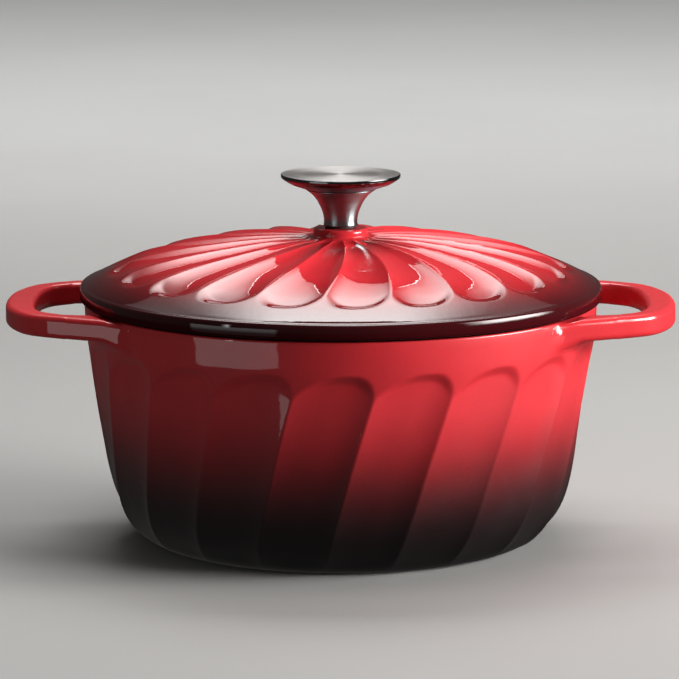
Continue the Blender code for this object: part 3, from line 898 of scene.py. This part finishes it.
def softbox(name, location, target, size, radiance, colour=(1, 1, 1), feather=(0.0, 0.0), slope=(1.0, 1.0), bend=1.0):
    """A rectangular light whose edges fade over a part of its width and height. slope is its strength at the bottom and at the top."""
    data = bpy.data.lights.new(name, "AREA")
    data.shape = "RECTANGLE"
    data.size, data.size_y = size
    data.energy = radiance * pi * size[0] * size[1]
    data.color = colour
    if max(feather) > 0:
        data.use_nodes = True
        tree = data.node_tree
        emission = next(n for n in tree.nodes if n.type == "EMISSION")
        split = tree.nodes.new("ShaderNodeSeparateXYZ")
        tree.links.new(tree.nodes.new("ShaderNodeNewGeometry").outputs["Parametric"], split.inputs[0])
        parts = []
        for socket, width in zip((split.outputs[0], split.outputs[1]), feather):
            fold = tree.nodes.new("ShaderNodeMath")
            fold.operation = "PINGPONG"
            fold.inputs[1].default_value = 0.5
            tree.links.new(socket, fold.inputs[0])
            fade = tree.nodes.new("ShaderNodeMapRange")
            fade.interpolation_type = "SMOOTHSTEP"
            fade.inputs[1].default_value, fade.inputs[2].default_value = 0.0, max(width, 1e-4)
            tree.links.new(fold.outputs[0], fade.inputs[0])
            parts.append(fade.outputs[0])
        both = tree.nodes.new("ShaderNodeMath")
        both.operation = "MULTIPLY"
        tree.links.new(parts[0], both.inputs[0])
        tree.links.new(parts[1], both.inputs[1])
        tilt = tree.nodes.new("ShaderNodeMapRange")
        tilt.inputs[3].default_value, tilt.inputs[4].default_value = slope
        tree.links.new(split.outputs[1], tilt.inputs[0])
        last = tree.nodes.new("ShaderNodeMath")
        last.operation = "MULTIPLY"
        curve = tree.nodes.new("ShaderNodeMath")
        curve.operation = "POWER"
        curve.inputs[1].default_value = bend
        tree.links.new(tilt.outputs[0], curve.inputs[0])
        tree.links.new(both.outputs[0], last.inputs[0])
        tree.links.new(curve.outputs[0], last.inputs[1])
        tree.links.new(last.outputs[0], emission.inputs["Strength"])
    obj = bpy.data.objects.new(name, data)
    obj.location = location
    obj.rotation_mode = "QUATERNION"
    obj.rotation_quaternion = (Vector(target) - Vector(location)).to_track_quat("-Z", "Y")
    obj.visible_camera = False
    bpy.context.scene.collection.objects.link(obj)
    return obj


world = bpy.data.worlds.new("studio")
bpy.context.scene.world = world
world.use_nodes = True
background = world.node_tree.nodes["Background"]
background.inputs["Color"].default_value = (0.62, 0.60, 0.58, 1)
background.inputs["Strength"].default_value = 0.112

softbox("top_softbox", (0.0, 0.829, 1.260), (0.0, 0.0296, 0.1106), (1.15, 0.97), 6.6, (1.0, 0.98, 0.97), (0.32, 0.012), (0.40, 1.50), 2.0)
softbox("softbox_edge", (0.0, 1.235, 0.977), (0.0, 0.435, -0.172), (1.0, 0.014), 12.0, (1.0, 0.98, 0.97), (0.2, 0.2))
softbox("top_wings", (0.0, 0.80, 1.28), (0.0, 0.0, 0.13), (1.9, 0.9), 1.15, (1.0, 0.96, 0.95), (0.1, 0.03), (0.2, 1.5))
softbox("key_right", (1.62, -0.34, 0.50), (0.0, 0.0, 0.10), (1.7, 0.95), 29.5, (1.0, 0.97, 0.95), (0.4, 0.2))
softbox("strip_stem", (-0.75, -0.70, 0.22), (0.0, 0.0, 0.17), (0.09, 0.36), 8.0, (1.0, 1.0, 1.0), (0.5, 0.4))
softbox("strip_left", (-0.452, -0.478, 0.018), (0.0, 0.0, 0.028), (0.45, 0.219), 1.32, (1.0, 1.0, 1.0), (0.03, 0.03))

softbox("overhead", (0.06, -0.05, 1.40), (0.0, 0.0, 0.12), (0.6, 0.6), 7.0, (1.0, 0.98, 0.97), (0.2, 0.2))
softbox("back_floor", (0.0, 1.5, 1.5), (0.0, 4.2, 0.0), (3.8, 1.0), 8.5, (1.0, 1.0, 1.0))

camera_data = bpy.data.cameras.new("camera")
camera_data.sensor_width = 36.0
camera_data.lens = 4325.9 / 679 * 36.0
camera = bpy.data.objects.new("camera", camera_data)
camera.location = (-0.0006, -2.1966, 0.4803)
camera.rotation_euler = (radians(90 - 9.7828), 0, 0)
bpy.context.scene.collection.objects.link(camera)
bpy.context.scene.camera = camera
bpy.context.scene.view_settings.view_transform = "Standard"
